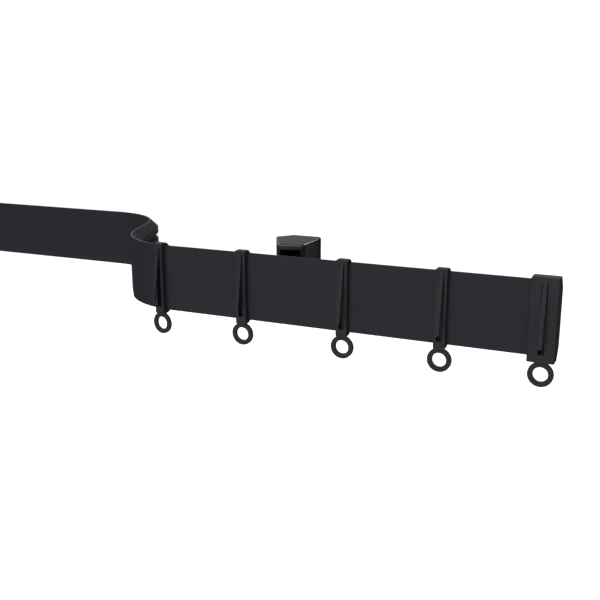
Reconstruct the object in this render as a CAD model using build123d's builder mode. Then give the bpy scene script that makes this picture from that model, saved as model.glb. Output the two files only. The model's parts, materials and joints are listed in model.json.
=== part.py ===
from build123d import *
import math
import os

# A curtain track that steps back round a wall corner: a tall black rail with an S bend, end caps,
# four clip-on gliders and one covered wall bracket.
# +X runs along the rail towards its near end, +Y points at the wall, +Z is up.
# The origin is on the wall, at the middle of the bracket's back, level with the rail's centre line.

# Rail section. Depths are measured back from the rail's face, heights from its centre line.
rail_height = 46.0
rail_depth = 7.6
face_wall = 1.5
web_wall = 1.2
flat_band_height = 32.2
crown_fall = 0.5
top_ledge_depth = 1.7
slope_fall = 5.7
back_lip_height = 4.3
groove_height = 5.0
groove_depth = 2.6
channel_mouth = 6.0
channel_height = 10.4
rail_corner_chamfer = 0.3

# Rail layout, seen from above
wall_gap = 49.0
bend_start_x = -79.5
near_length = 259.4
near_bend_radius = 66.8
link_length = 35.65
far_bend_radius = 59.9
bend_turn = 70.8
far_length = 190.0

# Gliders: a clip round the rail, a spring tongue in its front strap and an eye below
glider_width = 7.3
clip_gap = 0.3
clip_wall = 1.45
strap_thickness = 3.1
hook_height = 3.4
foot_height = 0.9
foot_depth = 5.2
foot_chamfer = 0.75
brow_chamfer = 0.5
glider_bend_angle = 8.0
glider_2_distance = 55.4
glider_3_distance = 128.0
glider_4_distance = 192.3

# Spring tongue and the slot that it stands in, the same on gliders and caps
slot_width = 3.6
slot_top_gap = 1.1
slot_foot_gap = 2.4
tongue_width = 2.7
tongue_thickness = 1.2
tongue_slope = 0.155
tongue_pivot_rise = 1.5
tongue_foot_gap = 7.3

# Hanging eye, the same on gliders and caps
eye_radius = 4.5
eye_band = 3.2
eye_thickness = 2.2
eye_depth = -0.7
eye_drop = 8.05
neck_width = 6.4
neck_root = 0.8

# End caps
cap_length = 16.1
cap_fit = 0.15
cap_back_wall = 1.25
cap_top_wall = 2.3
cap_front_wall = 5.05
cap_front_skin = 1.5
cap_end_wall = 1.8
cap_top_flat = 3.2
cap_slope_rise = 0.4
cap_pocket_gap = 4.5
cap_edge_radius = 0.7

# Wall bracket: a cast plate with an arm towards the rail
plate_width = 17.0
plate_height = 40.0
plate_thickness = 3.0
plate_corner = 2.0
wall_hole_radius = 2.25
wall_hole_head_radius = 4.0
wall_hole_spacing = 28.0
arm_centre_x = 3.5
arm_width = 9.0
arm_thickness = 2.5
arm_top = -4.0
arm_rail_gap = 0.8
arm_slot_length = 12.0
arm_bend_radius = 1.2

# Rail clamp, screwed on the arm and hooked in the rail's rear channel
clamp_gap = 0.3
clamp_base_thickness = 2.8
clamp_base_length = 19.0
clamp_post_thickness = 2.6
clamp_post_top = 5.0
clamp_neck_gap = 0.3
clamp_flange_gap = 0.2
clamp_flange_thickness = 2.2

# Clamp screw, washer and nut
screw_radius = 2.0
screw_hole_radius = 2.2
screw_from_wall = 28.0
screw_head_radius = 4.0
screw_head_height = 2.6
screw_head_chamfer = 0.8
recess_length = 4.6
recess_width = 1.0
recess_depth = 1.3
screw_tip = 1.2
washer_radius = 4.5
washer_thickness = 0.8
nut_across_flats = 7.0
nut_height = 3.2
thread_fit = 0.05

# Bracket cover. Its corners, seen from above, are given by x and by how far they reach from the wall.
cover_front_left_x = -5.2
cover_front_left_reach = 35.5
cover_front_right_x = 12.7
cover_front_right_reach = 30.8
cover_right_x = 13.0
cover_right_reach = 8.3
cover_left_x = -18.0
cover_left_reach = 10.0
cover_back_left_x = -10.6
cover_back_right_x = 11.8
cover_nose_radius = 2.6
cover_cheek_radius = 4.5
cover_wall = 1.6
cover_top = 28.2
cover_bottom = -22.5
cover_edge_radius = 1.5
window_left = 2.2
window_right = 2.0
window_top = 24.2
window_bottom = -11.0
cover_overrun = 5.0
shelf_thickness = 1.6
shelf_depth = 4.0

# Worked out from the sizes above
half_height = rail_height / 2
slot_top = half_height - slot_top_gap
slot_bottom = slot_foot_gap - half_height
tongue_pivot = half_height + tongue_pivot_rise
tongue_end = tongue_foot_gap - half_height
cap_pocket_height = rail_height - 2 * cap_pocket_gap
shoulder_z = half_height - slope_fall
groove_top = shoulder_z - back_lip_height
groove_bottom = groove_top - groove_height
groove_floor = rail_depth - groove_depth
slope_run = rail_depth - top_ledge_depth
slope_length = math.hypot(slope_run, slope_fall)
rail_face_y = -wall_gap
rail_back_y = rail_face_y + rail_depth
near_end_x = bend_start_x + near_length
turn = math.radians(bend_turn)
bend_centre_y = rail_face_y + near_bend_radius
bend_step_x = (near_bend_radius + far_bend_radius) * math.sin(turn) + link_length * math.cos(turn)
bend_step_y = (near_bend_radius + far_bend_radius) * (1 - math.cos(turn)) + link_length * math.sin(turn)
far_bend_x = bend_start_x - bend_step_x
far_end_x = far_bend_x - far_length
far_face_y = rail_face_y + bend_step_y
cover_left_lean = (cover_back_left_x - cover_left_x) / cover_left_reach
cover_right_lean = (cover_right_x - cover_back_right_x) / cover_right_reach
cover_back_left = cover_back_left_x + cover_overrun * cover_left_lean
cover_back_right = cover_back_right_x - cover_overrun * cover_right_lean
window_width = cover_front_right_x - window_right - cover_front_left_x - window_left
window_cut = cover_front_left_reach - cover_front_right_reach + 2 * cover_wall

os.makedirs("parts", exist_ok=True)


def save(piece, name):
    """Label a finished piece and write its file."""
    piece.label = name
    export_step(piece, f"parts/{name}.step")


def slope_height(depth, out):
    """Height of the rail's sloping top at a depth, moved outwards by a wall or a gap."""
    return half_height - (depth - top_ledge_depth) * slope_fall / slope_run + out * slope_length / slope_run


def slope_depth(height, out):
    """Depth at which that slope reaches a height."""
    return top_ledge_depth + (half_height - height) * slope_run / slope_fall + out * slope_length / slope_fall


def section_plane(x, y, angle=0.0):
    """Plane across the rail at a point of its face: first axis back into the rail, second axis up."""
    sine = math.sin(math.radians(angle))
    cosine = math.cos(math.radians(angle))
    return Plane(origin=(x, y, 0), x_dir=(sine, cosine, 0), z_dir=(cosine, -sine, 0))


def bend_plane(angle):
    """Section plane on the near bend, an angle on from the place where the bend starts."""
    x = bend_start_x - near_bend_radius * math.sin(math.radians(angle))
    y = bend_centre_y - near_bend_radius * math.cos(math.radians(angle))
    return section_plane(x, y, angle)


def face_plane(across):
    """Plane of the rail's face at the same point, looking at the room."""
    return Plane(origin=across.origin, x_dir=across.z_dir, z_dir=-across.x_dir)


# Rail: one bent extrusion with two closed chambers, two rear grooves and a rear channel

with BuildLine(Plane.XY) as rail_line:
    far_line = Line((far_end_x, far_face_y), (far_bend_x, far_face_y))
    far_bend = JernArc(far_line @ 1, far_line % 1, far_bend_radius, -bend_turn)
    link_line = PolarLine(far_bend @ 1, link_length, direction=far_bend % 1)
    near_bend = JernArc(link_line @ 1, link_line % 1, near_bend_radius, bend_turn)
    near_line = Line(near_bend @ 1, (near_end_x, rail_face_y))

with BuildPart() as rail:
    with BuildSketch(section_plane(far_end_x, far_face_y)) as rail_section:
        with BuildLine():
            Polyline(
                (0, 0),
                (0, flat_band_height / 2),
                (crown_fall, half_height),
                (top_ledge_depth, half_height),
                (rail_depth, shoulder_z),
                (rail_depth, groove_top),
                (groove_floor, groove_top),
                (groove_floor, groove_bottom),
                (rail_depth, groove_bottom),
                (rail_depth, channel_mouth / 2),
                (rail_depth - web_wall, channel_mouth / 2),
                (rail_depth - web_wall, channel_height / 2),
                (face_wall, channel_height / 2),
                (face_wall, 0),
                close=True,
            )
        make_face()
        crown_corners = rail_section.vertices().filter_by_position(Axis.X, crown_fall, top_ledge_depth)
        chamfer(crown_corners.filter_by_position(Axis.Y, half_height, half_height), rail_corner_chamfer)
        chamber_bottom = channel_height / 2 + web_wall
        chamber_top = half_height - web_wall
        chamber_back = rail_depth - web_wall
        chamber_step = groove_floor - web_wall
        with BuildLine():
            Polyline(
                (face_wall, chamber_bottom),
                (face_wall, flat_band_height / 2),
                (slope_depth(chamber_top, -web_wall), chamber_top),
                (chamber_back, slope_height(chamber_back, -web_wall)),
                (chamber_back, groove_top + web_wall),
                (chamber_step, groove_top + web_wall),
                (chamber_step, chamber_bottom),
                close=True,
            )
        make_face(mode=Mode.SUBTRACT)
        mirror(about=Plane.XZ)
    sweep(path=rail_line.wire())
save(rail.part, "rail")


# Features that the gliders and the caps share

def add_tongue(across, front_reach):
    """Cut the slot through a front strap and stand the spring tongue in it, leaning into the room."""
    with BuildSketch(face_plane(across).offset(front_reach)) as slot:
        with Locations((0, (slot_top + slot_bottom) / 2)):
            Rectangle(slot_width, slot_top - slot_bottom)
    extrude(slot.sketch, amount=-front_reach, mode=Mode.SUBTRACT)
    root_depth = front_reach + tongue_slope * (tongue_pivot - half_height)
    end_depth = front_reach + tongue_slope * (tongue_pivot - tongue_end)
    with BuildSketch(across) as tongue:
        with BuildLine():
            Polyline(
                (-root_depth, half_height),
                (-end_depth, tongue_end),
                (tongue_thickness - end_depth, tongue_end),
                (tongue_thickness - root_depth, half_height),
                close=True,
            )
        make_face()
    extrude(tongue.sketch, amount=tongue_width / 2, both=True)


def add_eye(across, foot_z):
    """Hang the eye for the curtain hook under a foot at the given height."""
    neck_height = eye_drop - eye_radius
    with BuildSketch(face_plane(across).offset(eye_thickness / 2 - eye_depth)) as eye:
        with Locations((0, foot_z - eye_drop)):
            Circle(eye_radius + eye_band)
        with Locations((0, foot_z + neck_root)):
            Rectangle(neck_width, neck_root + neck_height, align=(Align.CENTER, Align.MAX))
        with Locations((0, foot_z - eye_drop)):
            Circle(eye_radius, mode=Mode.SUBTRACT)
    extrude(eye.sketch, amount=-eye_thickness)


# Gliders: three on the straight and one just inside the near bend

def glider(across):
    """One moulded glider: a clip over the rail's top and bottom that hooks in its rear grooves."""
    reach = clip_gap + clip_wall
    top = half_height + reach
    inner_top = half_height + clip_gap
    strap_reach = clip_gap + strap_thickness
    hook_top = groove_top - clip_gap
    hook_bottom = hook_top - hook_height
    hook_nose = groove_floor + clip_gap
    back = rail_depth + reach
    inner_back = rail_depth + clip_gap
    with BuildPart() as clip:
        with BuildSketch(across):
            with BuildLine():
                Polyline(
                    (-strap_reach, 0),
                    (-strap_reach, top),
                    (slope_depth(top, reach), top),
                    (back, slope_height(back, reach)),
                    (back, hook_bottom),
                    (hook_nose, hook_bottom),
                    (hook_nose, hook_top),
                    (inner_back, hook_top),
                    (inner_back, slope_height(inner_back, clip_gap)),
                    (slope_depth(inner_top, clip_gap), inner_top),
                    (-clip_gap, inner_top),
                    (-clip_gap, 0),
                    close=True,
                )
            make_face()
            mirror(about=Plane.XZ)
        extrude(amount=glider_width / 2, both=True)
        with BuildSketch(across):
            with Locations((foot_depth / 2 - strap_reach, -top - foot_height / 2)):
                Rectangle(foot_depth, foot_height)
        extrude(amount=glider_width / 2, both=True)
        foot_corners = clip.faces().sort_by(Axis.Z)[0].edges().filter_by(Axis((0, 0, 0), across.x_dir))
        chamfer(foot_corners, foot_chamfer)
        brow_corners = clip.faces().sort_by(Axis.Z)[-1].edges()
        chamfer(brow_corners, brow_chamfer)
        add_tongue(across, strap_reach)
        add_eye(across, -top)
    return clip.part


glider_planes = [bend_plane(glider_bend_angle)]
for distance in (glider_2_distance, glider_3_distance, glider_4_distance):
    glider_planes.append(section_plane(bend_start_x + distance, rail_face_y))
for number, glider_plane in enumerate(glider_planes, start=1):
    save(glider(glider_plane), f"glider_{number}")


# End caps: a sleeve over each end of the rail, with the same tongue and eye as a glider

def end_cap(end_x, face_y, outward):
    """Cap over the rail end at end_x; outward is 1 for the near end and -1 for the far end."""
    outer_x = end_x + outward * (cap_fit + cap_end_wall)
    open_plane = section_plane(outer_x - outward * cap_length, face_y)
    middle_plane = section_plane(outer_x - outward * cap_length / 2, face_y)
    cap_top = half_height + cap_fit + cap_top_wall
    cap_front = cap_fit + cap_front_wall
    cap_back = rail_depth + cap_fit + cap_back_wall
    inner_top = half_height + cap_fit
    inner_back = rail_depth + cap_fit
    hollow_length = outward * (cap_length - cap_end_wall)
    with BuildPart() as cap:
        with BuildSketch(open_plane):
            with BuildLine():
                Polyline(
                    (-cap_front, 0),
                    (-cap_front, cap_top),
                    (cap_top_flat, cap_top),
                    (cap_back, shoulder_z + cap_slope_rise),
                    (cap_back, 0),
                    close=True,
                )
            make_face()
            mirror(about=Plane.XZ)
        extrude(amount=outward * cap_length)
        fillet(cap.edges(), cap_edge_radius)
        with BuildSketch(open_plane):
            with BuildLine():
                Polyline(
                    (-cap_fit, 0),
                    (-cap_fit, inner_top),
                    (slope_depth(inner_top, cap_fit), inner_top),
                    (inner_back, slope_height(inner_back, cap_fit)),
                    (inner_back, 0),
                    close=True,
                )
            make_face()
            mirror(about=Plane.XZ)
            with Locations((-(cap_front - cap_front_skin) / 2, 0)):
                Rectangle(cap_front - cap_front_skin, cap_pocket_height)
        extrude(amount=hollow_length, mode=Mode.SUBTRACT)
        add_tongue(middle_plane, cap_front)
        add_eye(middle_plane, -cap_top)
    return cap.part


save(end_cap(near_end_x, rail_face_y, 1), "near_end_cap")
save(end_cap(far_end_x, far_face_y, -1), "far_end_cap")


# Wall bracket: a cast plate with two screw holes and a slotted arm

wall_plane = Plane.XZ
arm_length = -rail_back_y - arm_rail_gap
clamp_screw_spot = (arm_centre_x, -screw_from_wall)

with BuildPart() as wall_bracket:
    with BuildSketch(wall_plane):
        RectangleRounded(plate_width, plate_height, plate_corner)
    extrude(amount=plate_thickness)
    with BuildSketch(wall_plane):
        with Locations((arm_centre_x, arm_top - arm_thickness / 2)):
            Rectangle(arm_width, arm_thickness)
    extrude(amount=arm_length)
    plate_front = wall_bracket.edges().filter_by_position(Axis.Y, -plate_thickness, -plate_thickness)
    arm_root = plate_front.filter_by(Axis.X).filter_by_position(Axis.Z, arm_top - arm_thickness, arm_top)
    fillet(arm_root, arm_bend_radius)
    with BuildSketch(Plane.XY.offset(arm_top)):
        with Locations(clamp_screw_spot):
            SlotOverall(arm_slot_length, 2 * screw_hole_radius, rotation=90)
    extrude(amount=-arm_thickness, mode=Mode.SUBTRACT)
    with Locations(wall_plane.offset(plate_thickness)):
        with GridLocations(0, wall_hole_spacing, 1, 2):
            CounterSinkHole(wall_hole_radius, wall_hole_head_radius)
save(wall_bracket.part, "wall_bracket")


# Rail clamp: an angle piece on the arm with a T head in the rail's rear channel

clamp_front_y = rail_back_y + clamp_gap
clamp_base_top = arm_top + clamp_base_thickness
neck_half_height = channel_mouth / 2 - clamp_neck_gap
flange_half_height = channel_height / 2 - clamp_flange_gap
flange_back_y = rail_back_y - web_wall - clamp_flange_gap
flange_front_y = flange_back_y - clamp_flange_thickness

with BuildPart() as rail_clamp:
    with BuildSketch(Plane.YZ.offset(arm_centre_x)):
        with BuildLine():
            Polyline(
                (clamp_front_y, arm_top),
                (clamp_front_y + clamp_base_length, arm_top),
                (clamp_front_y + clamp_base_length, clamp_base_top),
                (clamp_front_y + clamp_post_thickness, clamp_base_top),
                (clamp_front_y + clamp_post_thickness, clamp_post_top),
                (clamp_front_y, clamp_post_top),
                (clamp_front_y, neck_half_height),
                (flange_back_y, neck_half_height),
                (flange_back_y, flange_half_height),
                (flange_front_y, flange_half_height),
                (flange_front_y, -flange_half_height),
                (flange_back_y, -flange_half_height),
                (flange_back_y, -neck_half_height),
                (clamp_front_y, -neck_half_height),
                close=True,
            )
        make_face()
    extrude(amount=arm_width / 2, both=True)
    with BuildSketch(Plane.XY.offset(clamp_base_top)):
        with Locations(clamp_screw_spot):
            Circle(screw_hole_radius)
    extrude(amount=-clamp_base_thickness, mode=Mode.SUBTRACT)
save(rail_clamp.part, "rail_clamp")


# Clamp screw, washer and nut

washer_top = clamp_base_top + washer_thickness
nut_top = arm_top - arm_thickness
screw_end = nut_top - nut_height - screw_tip

with BuildPart() as clamp_washer:
    with BuildSketch(Plane.XY.offset(clamp_base_top)):
        with Locations(clamp_screw_spot):
            Circle(washer_radius)
            Circle(screw_hole_radius, mode=Mode.SUBTRACT)
    extrude(amount=washer_thickness)
save(clamp_washer.part, "clamp_washer")

with BuildPart() as clamp_screw:
    with BuildSketch(Plane.XY.offset(washer_top)):
        with Locations(clamp_screw_spot):
            Circle(screw_head_radius)
    extrude(amount=screw_head_height)
    chamfer(clamp_screw.edges().sort_by(Axis.Z)[-1], screw_head_chamfer)
    with BuildSketch(Plane.XY.offset(washer_top + screw_head_height)):
        with Locations(clamp_screw_spot):
            Rectangle(recess_length, recess_width)
            Rectangle(recess_width, recess_length)
    extrude(amount=-recess_depth, mode=Mode.SUBTRACT)
    with BuildSketch(Plane.XY.offset(washer_top)):
        with Locations(clamp_screw_spot):
            Circle(screw_radius)
    extrude(amount=screw_end - washer_top)
    chamfer(clamp_screw.edges().sort_by(Axis.Z)[0], screw_tip / 2)
save(clamp_screw.part, "clamp_screw")

with BuildPart() as clamp_nut:
    with BuildSketch(Plane.XY.offset(nut_top)):
        with Locations(clamp_screw_spot):
            RegularPolygon(nut_across_flats / 2, 6, major_radius=False)
            Circle(screw_radius + thread_fit, mode=Mode.SUBTRACT)
    extrude(amount=-nut_height)
save(clamp_nut.part, "clamp_nut")


# Bracket cover: a glossy hood, open below and behind, that rests with a shelf on the plate's top edge

cover_height = cover_top - cover_bottom

with BuildPart() as bracket_cover:
    with BuildSketch(Plane.XY.offset(cover_bottom)) as cover_plan:
        with BuildLine():
            Polyline(
                (cover_back_left, cover_overrun),
                (cover_left_x, -cover_left_reach),
                (cover_front_left_x, -cover_front_left_reach),
                (cover_front_right_x, -cover_front_right_reach),
                (cover_right_x, -cover_right_reach),
                (cover_back_right, cover_overrun),
                close=True,
            )
        make_face()
        nose_corners = cover_plan.vertices().filter_by_position(
            Axis.Y, -cover_front_left_reach, -cover_front_right_reach
        )
        cheek_corners = cover_plan.vertices().filter_by_position(Axis.Y, -cover_left_reach, -cover_right_reach)
        fillet(nose_corners, cover_nose_radius)
        fillet(cheek_corners, cover_cheek_radius)
    extrude(amount=cover_height)
    fillet(bracket_cover.faces().sort_by(Axis.Z)[-1].edges(), cover_edge_radius)
    with BuildSketch(Plane.XY.offset(cover_bottom)):
        add(cover_plan.sketch_local)
        offset(amount=-cover_wall, mode=Mode.REPLACE)
    extrude(amount=cover_height - cover_wall, mode=Mode.SUBTRACT)
    with BuildSketch(Plane.XY.offset(plate_height / 2)):
        add(cover_plan.sketch_local)
        offset(amount=-cover_wall / 2, mode=Mode.REPLACE)
        Rectangle(2 * cover_front_left_reach, 2 * shelf_depth, mode=Mode.INTERSECT)
    extrude(amount=shelf_thickness)
    split(bisect_by=wall_plane)
    with BuildSketch(wall_plane.offset(cover_front_left_reach)):
        with Locations((cover_front_left_x + window_left, window_bottom)):
            Rectangle(window_width, window_top - window_bottom, align=(Align.MIN, Align.MIN))
    extrude(amount=-window_cut, mode=Mode.SUBTRACT)
save(bracket_cover.part, "bracket_cover")
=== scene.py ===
# %% [markdown]
# # A curtain track with an S bend
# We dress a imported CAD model: a tall black rail, its end caps, four gliders and a covered bracket.
# The CAD gives the sizes and the places, in metres. Blender gives soft edges, finishes and light.

# %% Load the CAD frame
import json
import math

import bmesh
import bpy
from mathutils import Matrix, Vector

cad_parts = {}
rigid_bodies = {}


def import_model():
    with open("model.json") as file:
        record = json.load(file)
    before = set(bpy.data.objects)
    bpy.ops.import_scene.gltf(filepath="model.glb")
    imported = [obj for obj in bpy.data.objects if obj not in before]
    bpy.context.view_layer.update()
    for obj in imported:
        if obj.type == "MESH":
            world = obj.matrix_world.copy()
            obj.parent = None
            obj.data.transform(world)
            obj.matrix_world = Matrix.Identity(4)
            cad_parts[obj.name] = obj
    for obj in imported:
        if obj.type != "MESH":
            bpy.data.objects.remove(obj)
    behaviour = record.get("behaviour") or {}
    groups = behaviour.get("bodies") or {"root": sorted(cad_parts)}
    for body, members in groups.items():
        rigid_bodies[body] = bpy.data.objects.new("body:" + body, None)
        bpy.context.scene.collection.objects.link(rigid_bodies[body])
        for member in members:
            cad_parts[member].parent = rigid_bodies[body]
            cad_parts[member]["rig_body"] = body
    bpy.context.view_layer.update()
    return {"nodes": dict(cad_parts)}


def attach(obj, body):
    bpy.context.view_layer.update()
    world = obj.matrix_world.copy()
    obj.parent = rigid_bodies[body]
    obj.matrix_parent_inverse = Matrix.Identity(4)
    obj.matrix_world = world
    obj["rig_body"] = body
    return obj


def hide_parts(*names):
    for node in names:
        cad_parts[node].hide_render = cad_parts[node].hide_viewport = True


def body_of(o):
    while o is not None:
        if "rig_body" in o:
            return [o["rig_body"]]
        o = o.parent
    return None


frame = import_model()
MM = 0.001
CUBIC_CM = 0.000001
ORIGIN = Vector((0, 0, 0))
WHITE = (1, 1, 1, 1)
print("nodes in the frame:", len(frame["nodes"]))

# %% [markdown]
# ## The colours of black
# A black object is never one black. The rail is a coated metal with a slightly blue cast, the
# mouldings are a warmer grey black, and the cover is polished. We keep the colours in one place,
# as linear values, so that each finish can be tuned against the others.

# %% Name the colours
RAIL_DARK = (0.0183, 0.0194, 0.0231, 1)
RAIL_LIGHT = (0.0213, 0.0226, 0.0269, 1)
PLASTIC_DARK = (0.0190, 0.0199, 0.0230, 1)
PLASTIC_LIGHT = (0.0235, 0.0246, 0.0278, 1)
COVER_DARK = (0.0170, 0.0175, 0.0190, 1)
COVER_LIGHT = (0.0200, 0.0205, 0.0222, 1)
POWDER_DARK = (0.0120, 0.0120, 0.0130, 1)
POWDER_LIGHT = (0.0200, 0.0200, 0.0210, 1)
ZINC_DARK = (0.42, 0.42, 0.44, 1)
ZINC_LIGHT = (0.66, 0.66, 0.67, 1)
DUST = (0.30, 0.29, 0.27, 1)
print("colours named")

# %% [markdown]
# ## Shared surface effects
# The finishes draw on three effects: a fine grain and a little dust on what faces up, which all of
# them have, and long lines along the rail. Each one is a shader node group, built once, with its
# own inputs. That is better than copied nodes, because a change reaches every finish that uses it.

# %% Helpers for node groups
def start_group(name):
    """Make an empty shader node group with its two end nodes."""
    group = bpy.data.node_groups.new(name, "ShaderNodeTree")
    way_in = group.nodes.new("NodeGroupInput")
    way_out = group.nodes.new("NodeGroupOutput")
    return group, way_in, way_out


def add_input(group, name, value):
    """Give a group a number input."""
    socket = group.interface.new_socket(name=name, in_out="INPUT", socket_type="NodeSocketFloat")
    socket.default_value = value


def add_output(group, name):
    """Give a group a number output."""
    group.interface.new_socket(name=name, in_out="OUTPUT", socket_type="NodeSocketFloat")


def object_coordinates(tree, stretch=(1, 1, 1)):
    """Object coordinates, stretched along X, Y and Z."""
    place = tree.nodes.new("ShaderNodeTexCoord")
    mapping = tree.nodes.new("ShaderNodeMapping")
    mapping.inputs["Scale"].default_value = stretch
    tree.links.new(place.outputs["Object"], mapping.inputs["Vector"])
    return mapping.outputs["Vector"]


def add_noise(tree, vector, scale, detail):
    """One noise texture, whose scale is a number or a socket."""
    noise = tree.nodes.new("ShaderNodeTexNoise")
    noise.inputs["Detail"].default_value = detail
    tree.links.new(vector, noise.inputs["Vector"])
    if isinstance(scale, (int, float)):
        noise.inputs["Scale"].default_value = scale
    else:
        tree.links.new(scale, noise.inputs["Scale"])
    return noise.outputs["Fac"]


print("group helpers ready")

# %% [markdown]
# ### Grain
# A mould is spark eroded and a coating is sprayed, and both leave a fine, even grain. Two noises
# do it: a fine one for the grain's height, and a broad one for slow changes of shade.

# %% Build the grain group
GRAIN_SCALE = 9000.0
MOTTLE_SCALE = 60.0
GRAIN_DETAIL = 3
MOTTLE_DETAIL = 4


def build_grain():
    """Fine grain height and a slow mottle."""
    group, way_in, way_out = start_group("surface_grain")
    add_input(group, "Grain scale", GRAIN_SCALE)
    add_input(group, "Mottle scale", MOTTLE_SCALE)
    add_output(group, "Grain")
    add_output(group, "Mottle")
    vector = object_coordinates(group)
    grain = add_noise(group, vector, way_in.outputs["Grain scale"], GRAIN_DETAIL)
    mottle = add_noise(group, vector, way_in.outputs["Mottle scale"], MOTTLE_DETAIL)
    group.links.new(grain, way_out.inputs["Grain"])
    group.links.new(mottle, way_out.inputs["Mottle"])
    return group


grain_group = build_grain()
print("built", grain_group.name)

# %% [markdown]
# ### Drawn lines
# Aluminium that is pushed through a die keeps faint lines along its length. The rail runs level,
# so a noise that changes fast with height and slowly along the rail follows it round both bends.

# %% Build the drawn line group
LINE_STRETCH = (14, 14, 2600)
LINE_DETAIL = 5


def build_drawn_lines():
    """Faint level lines, as an extrusion die leaves them."""
    group, way_in, way_out = start_group("drawn_lines")
    add_input(group, "Line scale", 1.0)
    add_output(group, "Lines")
    vector = object_coordinates(group, LINE_STRETCH)
    lines = add_noise(group, vector, way_in.outputs["Line scale"], LINE_DETAIL)
    group.links.new(lines, way_out.inputs["Lines"])
    return group


line_group = build_drawn_lines()
print("built", line_group.name)

# %% [markdown]
# ### Dust
# Dust settles on what faces up, and thinly. The normal's height tells which way a face looks, and
# a noise breaks the dust up, so that it never reads as a second coat of paint.

# %% Build the dust group
DUST_AMOUNT = 0.05
DUST_STARTS = 0.45
SPECK_SCALE = 420.0
SPECK_DETAIL = 5


def multiply(tree, first, second):
    """The product of two sockets."""
    product = tree.nodes.new("ShaderNodeMath")
    product.operation = "MULTIPLY"
    tree.links.new(first, product.inputs[0])
    tree.links.new(second, product.inputs[1])
    return product.outputs["Value"]


def build_dust():
    """A thin mask on faces that look up."""
    group, way_in, way_out = start_group("settled_dust")
    add_input(group, "Amount", DUST_AMOUNT)
    add_output(group, "Dust")
    geometry = group.nodes.new("ShaderNodeNewGeometry")
    parts = group.nodes.new("ShaderNodeSeparateXYZ")
    group.links.new(geometry.outputs["Normal"], parts.inputs["Vector"])
    upward = group.nodes.new("ShaderNodeMapRange")
    upward.inputs["From Min"].default_value = DUST_STARTS
    upward.inputs["From Max"].default_value = 1.0
    group.links.new(parts.outputs["Z"], upward.inputs["Value"])
    specks = add_noise(group, object_coordinates(group), SPECK_SCALE, SPECK_DETAIL)
    broken = multiply(group, upward.outputs["Result"], specks)
    scaled = multiply(group, broken, way_in.outputs["Amount"])
    group.links.new(scaled, way_out.inputs["Dust"])
    return group


dust_group = build_dust()
print("built", dust_group.name)

# %% [markdown]
# ## Finishes
# Every finish here is built the same way: a dark and a light shade mixed by the mottle, dust on
# top, a roughness that varies a little, and a bump from the grain. On the rail the drawn lines mix
# the shades, and they join the bump. One function keeps that recipe, and each finish below says
# only what is special about it.

# %% Helpers for finishes
NOISE_MIDDLE = (0.3, 0.7)
MIX_FIRST_COLOUR = 6
MIX_SECOND_COLOUR = 7
MIXED_COLOUR = 2


def place_group(tree, group, values):
    """Put a group in a material and set its inputs."""
    node = tree.nodes.new("ShaderNodeGroup")
    node.node_tree = group
    for name, value in values.items():
        node.inputs[name].default_value = value
    return node


def mix_colours(tree, factor, first, second):
    """Mix two colours, each one a colour or a socket."""
    mix = tree.nodes.new("ShaderNodeMix")
    mix.data_type = "RGBA"
    tree.links.new(factor, mix.inputs["Factor"])
    for index, colour in ((MIX_FIRST_COLOUR, first), (MIX_SECOND_COLOUR, second)):
        if isinstance(colour, tuple):
            mix.inputs[index].default_value = colour
        else:
            tree.links.new(colour, mix.inputs[index])
    return mix.outputs[MIXED_COLOUR]


def spread(tree, value, low, high):
    """Stretch a noise's middle range to run from low to high."""
    node = tree.nodes.new("ShaderNodeMapRange")
    node.inputs["From Min"].default_value = NOISE_MIDDLE[0]
    node.inputs["From Max"].default_value = NOISE_MIDDLE[1]
    node.inputs["To Min"].default_value = low
    node.inputs["To Max"].default_value = high
    tree.links.new(value, node.inputs["Value"])
    return node.outputs["Result"]


print("finish helpers ready")

# %% The recipe for a finish
LINE_SHADE = (0.35, 0.65)


def add_lines(tree, height, strength):
    """Drawn lines: the shade they give, and a height with the lines added to it."""
    drawn = place_group(tree, line_group, {})
    blend = tree.nodes.new("ShaderNodeMath")
    blend.operation = "MULTIPLY_ADD"
    blend.inputs[1].default_value = strength
    tree.links.new(drawn.outputs["Lines"], blend.inputs[0])
    tree.links.new(height, blend.inputs[2])
    return spread(tree, drawn.outputs["Lines"], *LINE_SHADE), blend.outputs["Value"]


def make_finish(name, dark, light, rough, specular, grain_scale, bump, dust=DUST_AMOUNT, lines=0.0):
    """A finish, whose rough is (low, high) and whose bump is the grain's height in metres."""
    material = bpy.data.materials.new(name)
    material.use_nodes = True
    tree = material.node_tree
    shader = tree.nodes["Principled BSDF"]
    shader.inputs["Specular IOR Level"].default_value = specular
    grain = place_group(tree, grain_group, {"Grain scale": grain_scale})
    height = grain.outputs["Grain"]
    if lines:
        shade, height = add_lines(tree, height, lines)
    else:
        shade = spread(tree, grain.outputs["Mottle"], 0.0, 1.0)
    body = mix_colours(tree, shade, dark, light)
    dusting = place_group(tree, dust_group, {"Amount": dust})
    colour = mix_colours(tree, dusting.outputs["Dust"], body, DUST)
    tree.links.new(colour, shader.inputs["Base Color"])
    tree.links.new(spread(tree, grain.outputs["Mottle"], *rough), shader.inputs["Roughness"])
    relief = tree.nodes.new("ShaderNodeBump")
    relief.inputs["Distance"].default_value = bump
    tree.links.new(height, relief.inputs["Height"])
    tree.links.new(relief.outputs["Normal"], shader.inputs["Normal"])
    return material


print("recipe ready")

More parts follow.
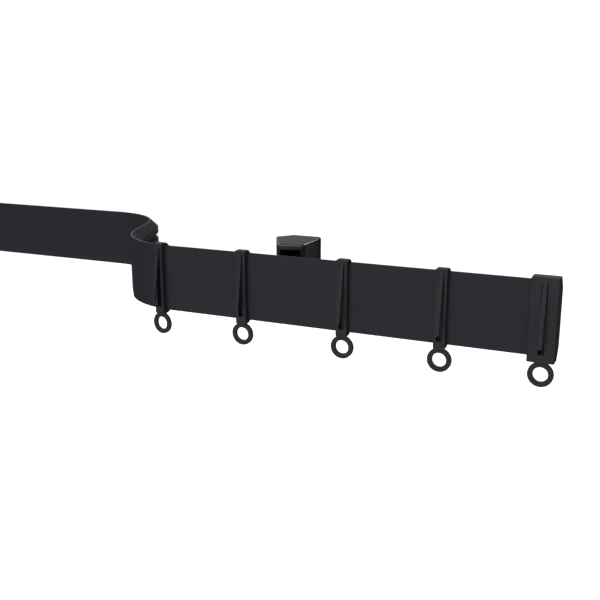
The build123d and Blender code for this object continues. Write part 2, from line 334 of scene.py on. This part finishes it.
# %% Make the five finishes
coating = make_finish(
    "rail_coating", RAIL_DARK, RAIL_LIGHT, rough=(0.38, 0.44), specular=0.06, grain_scale=7000.0,
    bump=0.006 * MM, lines=0.6,
)
moulding = make_finish(
    "matt_moulding", PLASTIC_DARK, PLASTIC_LIGHT, rough=(0.42, 0.50), specular=0.08,
    grain_scale=5200.0, bump=0.020 * MM,
)
polish = make_finish(
    "polished_moulding", COVER_DARK, COVER_LIGHT, rough=(0.16, 0.22), specular=0.30,
    grain_scale=2500.0, bump=0.002 * MM, dust=0.03,
)
powder = make_finish(
    "powder_coat", POWDER_DARK, POWDER_LIGHT, rough=(0.40, 0.52), specular=0.5,
    grain_scale=1400.0, bump=0.045 * MM,
)
zinc = make_finish(
    "zinc_plate", ZINC_DARK, ZINC_LIGHT, rough=(0.26, 0.40), specular=0.5, grain_scale=3000.0,
    bump=0.008 * MM, dust=0.02,
)
zinc.node_tree.nodes["Principled BSDF"].inputs["Metallic"].default_value = 1.0
print("finishes:", [m.name for m in (coating, moulding, polish, powder, zinc)])

# %% [markdown]
# ## Helpers for pieces
# A CAD solid has knife edges, and nothing real has them. An edge that is rounded by only a quarter
# of a millimetre catches a thin line of light, and that line tells the eye how big the thing is.
# So most pieces are a merged copy of their CAD node with its sharp edges bevelled. The weighted
# normals at the end keep the flat faces flat and let only the small roundings shade softly.

# %% Turn a bmesh into a finished piece
MERGE = 0.002 * MM
PLANAR = math.radians(0.5)
SHARP = math.radians(28)
EYE_ROUNDING = 0.5 * MM


def finish_piece(shape, name, body, material, stands_for):
    """Make an object of a bmesh, let it ride on its body and stand for its CAD nodes."""
    for face in shape.faces:
        face.smooth = True
    mesh = bpy.data.meshes.new(name)
    shape.to_mesh(mesh)
    shape.free()
    mesh.materials.append(material)
    piece = bpy.data.objects.new(name, mesh)
    bpy.context.scene.collection.objects.link(piece)
    normals = piece.modifiers.new("flat faces stay flat", "WEIGHTED_NORMAL")
    normals.keep_sharp = True
    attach(piece, body)
    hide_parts(*stands_for)
    print("made", name, "with", len(mesh.polygons), "faces")


def sharp_edges(shape, limit):
    """Edges whose two faces meet at more than this angle."""
    return [e for e in shape.edges if len(e.link_faces) == 2 and e.calc_face_angle() > limit]


def round_edges(shape, edges, radius, segments=2):
    """Bevel some edges of a piece."""
    bmesh.ops.bevel(
        shape, geom=edges, offset=radius, offset_type="OFFSET", segments=segments, profile=0.5,
        affect="EDGES", clamp_overlap=True, material=-1,
    )


def hangs_below(edge, height):
    """Whether a whole edge lies below a height."""
    return max(vert.co.z for vert in edge.verts) < height


def softened_copy(node, name, material, radius, eye_below=None):
    """A merged copy of a CAD node with rounded edges; an eye below a height gets rounder rims."""
    shape = bmesh.new()
    shape.from_mesh(frame["nodes"][node].data)
    bmesh.ops.remove_doubles(shape, verts=shape.verts, dist=MERGE)
    bmesh.ops.dissolve_limit(shape, angle_limit=PLANAR, verts=shape.verts, edges=shape.edges)
    edges = sharp_edges(shape, SHARP)
    if eye_below is not None:
        rims = [e for e in edges if hangs_below(e, eye_below)]
        round_edges(shape, rims, EYE_ROUNDING, segments=3)
        edges = [e for e in sharp_edges(shape, SHARP) if not hangs_below(e, eye_below)]
    round_edges(shape, edges, radius)
    body = body_of(frame["nodes"][node])[0]
    finish_piece(shape, name, body, material, [node])


print("piece helpers ready")

# %% [markdown]
# ## The rail
# The rail is one aluminium extrusion, bent twice. Its section is a tall flat face with a slightly
# tapered crown, a sloping top and bottom, two grooves for the gliders' hooks, a wide channel for
# the brackets and two closed chambers. We could bevel the CAD copy, but its bends are faceted. It
# is better to draw the section once and to sweep it with the two operators that mirror how a rail
# is made: an extrude for each straight run and a spin for each bend.

# %% Name the rail's sizes
HALF_HEIGHT = 23.0
BAND_HALF = 16.1
CROWN_FALL = 0.5
LEDGE_DEPTH = 1.7
RAIL_DEPTH = 7.6
SHOULDER = HALF_HEIGHT - 5.7
GROOVE_TOP = SHOULDER - 4.3
GROOVE_BOTTOM = GROOVE_TOP - 5.0
GROOVE_FLOOR = RAIL_DEPTH - 2.6
MOUTH_HALF = 3.0
CHANNEL_HALF = 5.2
FACE_WALL = 1.5
WEB_WALL = 1.2
LIP_INSIDE = RAIL_DEPTH - WEB_WALL
SLOPE_RUN = RAIL_DEPTH - LEDGE_DEPTH
SLOPE_FALL = HALF_HEIGHT - SHOULDER
SLOPE_LENGTH = math.hypot(SLOPE_RUN, SLOPE_FALL)
FACE_Y = -49.0 * MM
NEAR_BEND_X = -79.5 * MM
NEAR_END_X = 179.9 * MM
NEAR_RADIUS = 66.8 * MM
FAR_RADIUS = 59.9 * MM
LINK_LENGTH = 35.65 * MM
FAR_LENGTH = 190.0 * MM
BEND = math.radians(70.8)
BEND_STEPS = 36
print("rail height in mm:", 2 * HALF_HEIGHT)

# %% Draw the outline
def upside_down(points):
    """The same points mirrored about the rail's centre line, in the other order."""
    return [(depth, -height) for depth, height in reversed(points)]


def rail_section():
    """The outline as depth and height in millimetres: over the top, down the back and under."""
    crown = [(0, BAND_HALF), (CROWN_FALL, HALF_HEIGHT), (LEDGE_DEPTH, HALF_HEIGHT)]
    back = [(RAIL_DEPTH, SHOULDER), (RAIL_DEPTH, GROOVE_TOP)]
    groove = [(GROOVE_FLOOR, GROOVE_TOP), (GROOVE_FLOOR, GROOVE_BOTTOM)]
    mouth = [(RAIL_DEPTH, GROOVE_BOTTOM), (RAIL_DEPTH, MOUTH_HALF), (LIP_INSIDE, MOUTH_HALF)]
    channel = [(LIP_INSIDE, CHANNEL_HALF), (FACE_WALL, CHANNEL_HALF)]
    upper = crown + back + groove + mouth + channel
    return upper + upside_down(upper)


print("corners in the outline:", len(rail_section()))

# %% Draw the chambers
def inner_slope_height(depth):
    """Height of the sloping top's inner face at a depth."""
    return HALF_HEIGHT - ((depth - LEDGE_DEPTH) * SLOPE_FALL + WEB_WALL * SLOPE_LENGTH) / SLOPE_RUN


def inner_slope_depth(height):
    """Depth at which that inner face reaches a height."""
    return LEDGE_DEPTH + ((HALF_HEIGHT - height) * SLOPE_RUN - WEB_WALL * SLOPE_LENGTH) / SLOPE_FALL


def chamber_section():
    """The upper closed chamber, inside the outline by the thickness of the walls."""
    bottom = CHANNEL_HALF + WEB_WALL
    top = HALF_HEIGHT - WEB_WALL
    back = RAIL_DEPTH - WEB_WALL
    step = GROOVE_FLOOR - WEB_WALL
    front = [(FACE_WALL, bottom), (FACE_WALL, BAND_HALF)]
    slope = [(inner_slope_depth(top), top), (back, inner_slope_height(back))]
    rear = [(back, GROOVE_TOP + WEB_WALL), (step, GROOVE_TOP + WEB_WALL), (step, bottom)]
    return front + slope + rear


outlines = [rail_section(), chamber_section(), upside_down(chamber_section())]
print("corners in the section:", [len(outline) for outline in outlines])

# %% Sweep the section along the rail
def add_outline(shape, outline):
    """Lay one outline down at the near end of the rail and return its edges."""
    places = [(NEAR_END_X, FACE_Y + depth * MM, height * MM) for depth, height in outline]
    ring = [shape.verts.new(place) for place in places]
    return [shape.edges.new((ring[i - 1], ring[i])) for i in range(len(ring))]


def run_straight(shape, edges, step):
    """Extrude the last rings along a straight run."""
    made = bmesh.ops.extrude_edge_only(shape, edges=edges)["geom"]
    moved = [item for item in made if isinstance(item, bmesh.types.BMVert)]
    bmesh.ops.translate(shape, verts=moved, vec=step)
    return [item for item in made if isinstance(item, bmesh.types.BMEdge)]


def run_bend(shape, edges, centre, angle):
    """Spin the last rings round a bend."""
    made = bmesh.ops.spin(
        shape, geom=edges, cent=centre, axis=(0, 0, 1), dvec=(0, 0, 0), angle=angle,
        steps=BEND_STEPS, use_merge=False, use_duplicate=False,
    )["geom_last"]
    return [item for item in made if isinstance(item, bmesh.types.BMEdge)]


link_way = Vector((-math.cos(BEND), math.sin(BEND), 0))
near_centre = Vector((NEAR_BEND_X, FACE_Y + NEAR_RADIUS, 0))
near_bend_end = near_centre + NEAR_RADIUS * Vector((-math.sin(BEND), -math.cos(BEND), 0))
far_bend_start = near_bend_end + LINK_LENGTH * link_way
far_centre = far_bend_start + FAR_RADIUS * Vector((-math.sin(BEND), -math.cos(BEND), 0))

rail_shape = bmesh.new()
rings = [edge for outline in outlines for edge in add_outline(rail_shape, outline)]
rings = run_straight(rail_shape, rings, (NEAR_BEND_X - NEAR_END_X, 0, 0))
rings = run_bend(rail_shape, rings, near_centre, -BEND)
rings = run_straight(rail_shape, rings, LINK_LENGTH * link_way)
rings = run_bend(rail_shape, rings, far_centre, BEND)
run_straight(rail_shape, rings, (-FAR_LENGTH, 0, 0))
print("rail faces before rounding:", len(rail_shape.faces))

# %% [markdown]
# The crown's crease is a soft angle of four degrees that stays crisp in the real rail, so it is
# marked sharp. The square corners get a small radius instead. The sawn ends are filled last, round
# the two chambers, because the rounding comes out clean while they are still open.

# %% Round the rail's corners and close its ends
CREASE_LOW = math.radians(3)
CREASE_HIGH = math.radians(8)
CORNER = math.radians(20)
RAIL_ROUNDING = 0.22 * MM

for edge in rail_shape.edges:
    if CREASE_LOW < edge.calc_face_angle(0) < CREASE_HIGH:
        edge.smooth = False
round_edges(rail_shape, sharp_edges(rail_shape, CORNER), RAIL_ROUNDING)
for is_near in (True, False):
    sawn = [e for e in rail_shape.edges if e.is_boundary and (e.verts[0].co.x > 0) == is_near]
    bmesh.ops.triangle_fill(rail_shape, edges=sawn, use_beauty=True, use_dissolve=False)
bmesh.ops.recalc_face_normals(rail_shape, faces=rail_shape.faces)
print("open edges:", len([e for e in rail_shape.edges if not e.is_manifold]))
print("volume in cubic cm:", round(rail_shape.calc_volume(signed=True) / CUBIC_CM, 1))
finish_piece(rail_shape, "bent_rail", "track", coating, ["rail"])

# %% [markdown]
# ## Gliders and end caps
# A glider is one moulding: a clip round the rail, a slotted strap in front, a spring tongue that
# leans out of the slot, and an eye below for the curtain hook. The CAD copy has all of that. We
# only soften it, more on the gliders than on the caps, whose outer edges are rounded already.

# %% Soften the mouldings
GLIDER_ROUNDING = 0.28 * MM
CAP_ROUNDING = 0.2 * MM
GLIDER_FOOT = -25.7 * MM
CAP_FOOT = -25.5 * MM

for number in range(1, 5):
    softened_copy(
        f"glider_{number}", f"clip_glider_{number}", moulding,
        GLIDER_ROUNDING, GLIDER_FOOT,
    )
for end in ("near", "far"):
    softened_copy(
        f"{end}_end_cap", f"{end}_cap_moulding", moulding, CAP_ROUNDING, CAP_FOOT,
    )

# %% [markdown]
# ## The bracket
# The bracket is a cast plate with an arm. A clamp slides on the arm and hooks in the rail's rear
# channel, and one screw with a washer and a nut holds the two together. A polished hood hides it.

# %% Soften the bracket's pieces
BRACKET_ROUNDING = 0.25 * MM
FASTENER_ROUNDING = 0.1 * MM
HOOD_ROUNDING = 0.25 * MM

softened_copy("wall_bracket", "cast_bracket", powder, BRACKET_ROUNDING)
softened_copy("rail_clamp", "channel_clamp", powder, BRACKET_ROUNDING)
softened_copy("clamp_screw", "pan_head_screw", zinc, FASTENER_ROUNDING)
softened_copy("clamp_washer", "plain_washer", zinc, FASTENER_ROUNDING)
softened_copy("clamp_nut", "hexagon_nut", zinc, FASTENER_ROUNDING)
softened_copy("bracket_cover", "bracket_hood", polish, HOOD_ROUNDING)

# %% [markdown]
# ## Floor
# The floor is a plain pale sheet well below the rail. For camera, mirror and glass rays it is
# white, and every other ray finds a real matt floor that bounces light up at the rail.

# %% Lay the floor
FLOOR_X = -0.1
FLOOR_Z = -0.42
FLOOR_SIZE = 6.0

floor_shape = bmesh.new()
bmesh.ops.create_grid(
    floor_shape, x_segments=4, y_segments=4, size=FLOOR_SIZE,
    matrix=Matrix.Translation((FLOOR_X, 0.0, FLOOR_Z)),
)
floor_mesh = bpy.data.meshes.new("floor")
floor_shape.to_mesh(floor_mesh)
floor_shape.free()
floor = bpy.data.objects.new("floor", floor_mesh)
bpy.context.scene.collection.objects.link(floor)
print("floor at", FLOOR_Z)

# %% Paint the floor
FLOOR_COLOUR = (0.9, 0.9, 0.9, 1)
FLOOR_ROUGHNESS = 0.9
FLOOR_GLOW = 0.75


def seen_directly(tree):
    """A factor that is 1 for camera, glossy and transmission rays."""
    path = tree.nodes.new("ShaderNodeLightPath")
    total = path.outputs["Is Camera Ray"]
    for name in ("Is Glossy Ray", "Is Transmission Ray"):
        either = tree.nodes.new("ShaderNodeMath")
        either.operation = "MAXIMUM"
        tree.links.new(total, either.inputs[0])
        tree.links.new(path.outputs[name], either.inputs[1])
        total = either.outputs["Value"]
    return total


floor_paint = bpy.data.materials.new("pale_floor")
floor_paint.use_nodes = True
floor_tree = floor_paint.node_tree
floor_shader = floor_tree.nodes["Principled BSDF"]
floor_shader.inputs["Base Color"].default_value = FLOOR_COLOUR
floor_shader.inputs["Roughness"].default_value = FLOOR_ROUGHNESS
floor_shader.inputs["Emission Color"].default_value = WHITE
floor_glow = floor_tree.nodes.new("ShaderNodeMath")
floor_glow.operation = "MULTIPLY"
floor_glow.inputs[1].default_value = FLOOR_GLOW
floor_tree.links.new(seen_directly(floor_tree), floor_glow.inputs[0])
floor_tree.links.new(floor_glow.outputs["Value"], floor_shader.inputs["Emission Strength"])
floor_mesh.materials.append(floor_paint)
print("floor painted")

# %% [markdown]
# ## Cards
# A photographer shapes black things with what they mirror, not with more light. Cards stand round
# the rail and lie on the floor behind it and on its left, and only reflections can see them. The
# black ones keep the sides and the bends dark. The tops mirror the grey card behind them, at a flat
# angle, and the grey strip on the right lifts the hood's side a little.

# %% Stand the cards
CARD_Z = FLOOR_Z + 0.005
ROOM_LEFT = -1.4
ROOM_RIGHT = 1.3
ROOM_BACK = 1.3
CARDS_MEET_X = -0.05
TALL = 0.9
LOW_CARD_TOP = 0.4
BEHIND_CARD_TOP = 0.36
STRIP_TOP = -0.1
STRIP_Y = ROOM_BACK - 0.02
CARD_ROUGHNESS = 1.0
BLACK = (0.01, 0.01, 0.01, 1)
GREY = (0.25, 0.25, 0.25, 1)


def place_card(name, corners, colour):
    """A card with four corners, seen only in reflections."""
    shape = bmesh.new()
    shape.faces.new([shape.verts.new(corner) for corner in corners])
    mesh = bpy.data.meshes.new(name)
    shape.to_mesh(mesh)
    shape.free()
    paint = bpy.data.materials.new(name)
    paint.use_nodes = True
    shader = paint.node_tree.nodes["Principled BSDF"]
    shader.inputs["Base Color"].default_value = colour
    shader.inputs["Roughness"].default_value = CARD_ROUGHNESS
    mesh.materials.append(paint)
    card = bpy.data.objects.new(name, mesh)
    card.visible_camera = False
    card.visible_diffuse = False
    card.visible_shadow = False
    bpy.context.scene.collection.objects.link(card)


def upright(start, end, top):
    """Corners of a card that stands on the floor between two points."""
    return [(*start, FLOOR_Z), (*end, FLOOR_Z), (*end, top), (*start, top)]


def on_floor(corner, opposite):
    """Corners of a level card just above the floor."""
    (x0, y0), (x1, y1) = corner, opposite
    return [(x0, y0, CARD_Z), (x1, y0, CARD_Z), (x1, y1, CARD_Z), (x0, y1, CARD_Z)]


back_left = (ROOM_LEFT, ROOM_BACK)
back_middle = (CARDS_MEET_X, ROOM_BACK)
back_right = (ROOM_RIGHT, ROOM_BACK)
place_card("black_card_behind", upright(back_middle, back_right, BEHIND_CARD_TOP), BLACK)
place_card("black_card_right", upright(back_right, (ROOM_RIGHT, -0.2), TALL), BLACK)
place_card("black_card_left", upright(back_left, (ROOM_LEFT, -1.6), LOW_CARD_TOP), BLACK)
place_card("grey_card_behind", upright(back_left, back_middle, TALL), GREY)
place_card("grey_strip_right", upright((0.5, STRIP_Y), (0.8, STRIP_Y), STRIP_TOP), GREY)
place_card("black_card_on_right_floor", on_floor((CARDS_MEET_X, 0.15), back_right), BLACK)
place_card("black_card_on_left_floor", on_floor((ROOM_LEFT, -0.4), (-0.35, ROOM_BACK)), BLACK)
print("cards stand")

# %% [markdown]
# ## Light
# The world is white for camera, mirror and glass rays, like the floor, and a soft grey for every
# other ray. A large lamp hangs in front for the faces, one above on the left for the tops and one
# behind on the left for the back. A small one behind on the right draws the bright line along the
# hood's edge.

# %% Light the scene
WORLD_LIGHT = 0.28

world = bpy.data.worlds.new("studio")
bpy.context.scene.world = world
world.use_nodes = True
world_tree = world.node_tree
background = world_tree.nodes["Background"]
level = world_tree.nodes.new("ShaderNodeMapRange")
level.inputs["To Min"].default_value = WORLD_LIGHT
level.inputs["To Max"].default_value = 1.0
world_tree.links.new(seen_directly(world_tree), level.inputs["Value"])
background.inputs["Color"].default_value = WHITE
world_tree.links.new(level.outputs["Result"], background.inputs["Strength"])


def hang_lamp(name, place, size, power):
    """A square area lamp that looks at the frame's origin."""
    lamp = bpy.data.lights.new(name, "AREA")
    lamp.shape = "SQUARE"
    lamp.size = size
    lamp.energy = power
    holder = bpy.data.objects.new(name, lamp)
    holder.location = place
    holder.rotation_euler = (ORIGIN - Vector(place)).to_track_quat("-Z", "Y").to_euler()
    bpy.context.scene.collection.objects.link(holder)


hang_lamp("front_lamp", (-0.3, -1.9, 0.8), size=1.0, power=24.0)
hang_lamp("top_lamp", (-0.95, 0.1, 1.28), size=0.35, power=4.5)
hang_lamp("back_lamp", (-1.2, 1.1, 1.0), size=0.8, power=10.0)
hang_lamp("edge_lamp", (0.33, 1.25, 0.62), size=0.15, power=1.15)
print("lamps hung")

# %% [markdown]
# ## Camera
# The camera stands a little to the right of the bracket and looks down to the left. Its place and
# lens were worked out from the rail's own straight edges.

# %% Set the camera
CAMERA_PLACE = (0.2490, -0.5488, 0.1331)
CAMERA_PITCH = 14.09
CAMERA_YAW = 24.78
SENSOR_WIDTH = 36.0
FOCAL_LENGTH = 52.25
CLIP_START = 0.01

camera_data = bpy.data.cameras.new("camera")
camera_data.sensor_width = SENSOR_WIDTH
camera_data.lens = FOCAL_LENGTH
camera_data.clip_start = CLIP_START
camera = bpy.data.objects.new("camera", camera_data)
camera.location = CAMERA_PLACE
camera.rotation_euler = (math.radians(90 - CAMERA_PITCH), 0, math.radians(CAMERA_YAW))
bpy.context.scene.collection.objects.link(camera)
bpy.context.scene.camera = camera
bpy.context.scene.view_settings.view_transform = "Standard"
print("camera at", CAMERA_PLACE)

# %% [markdown]
# ## Finish

# %% Finish
print("scene finished")
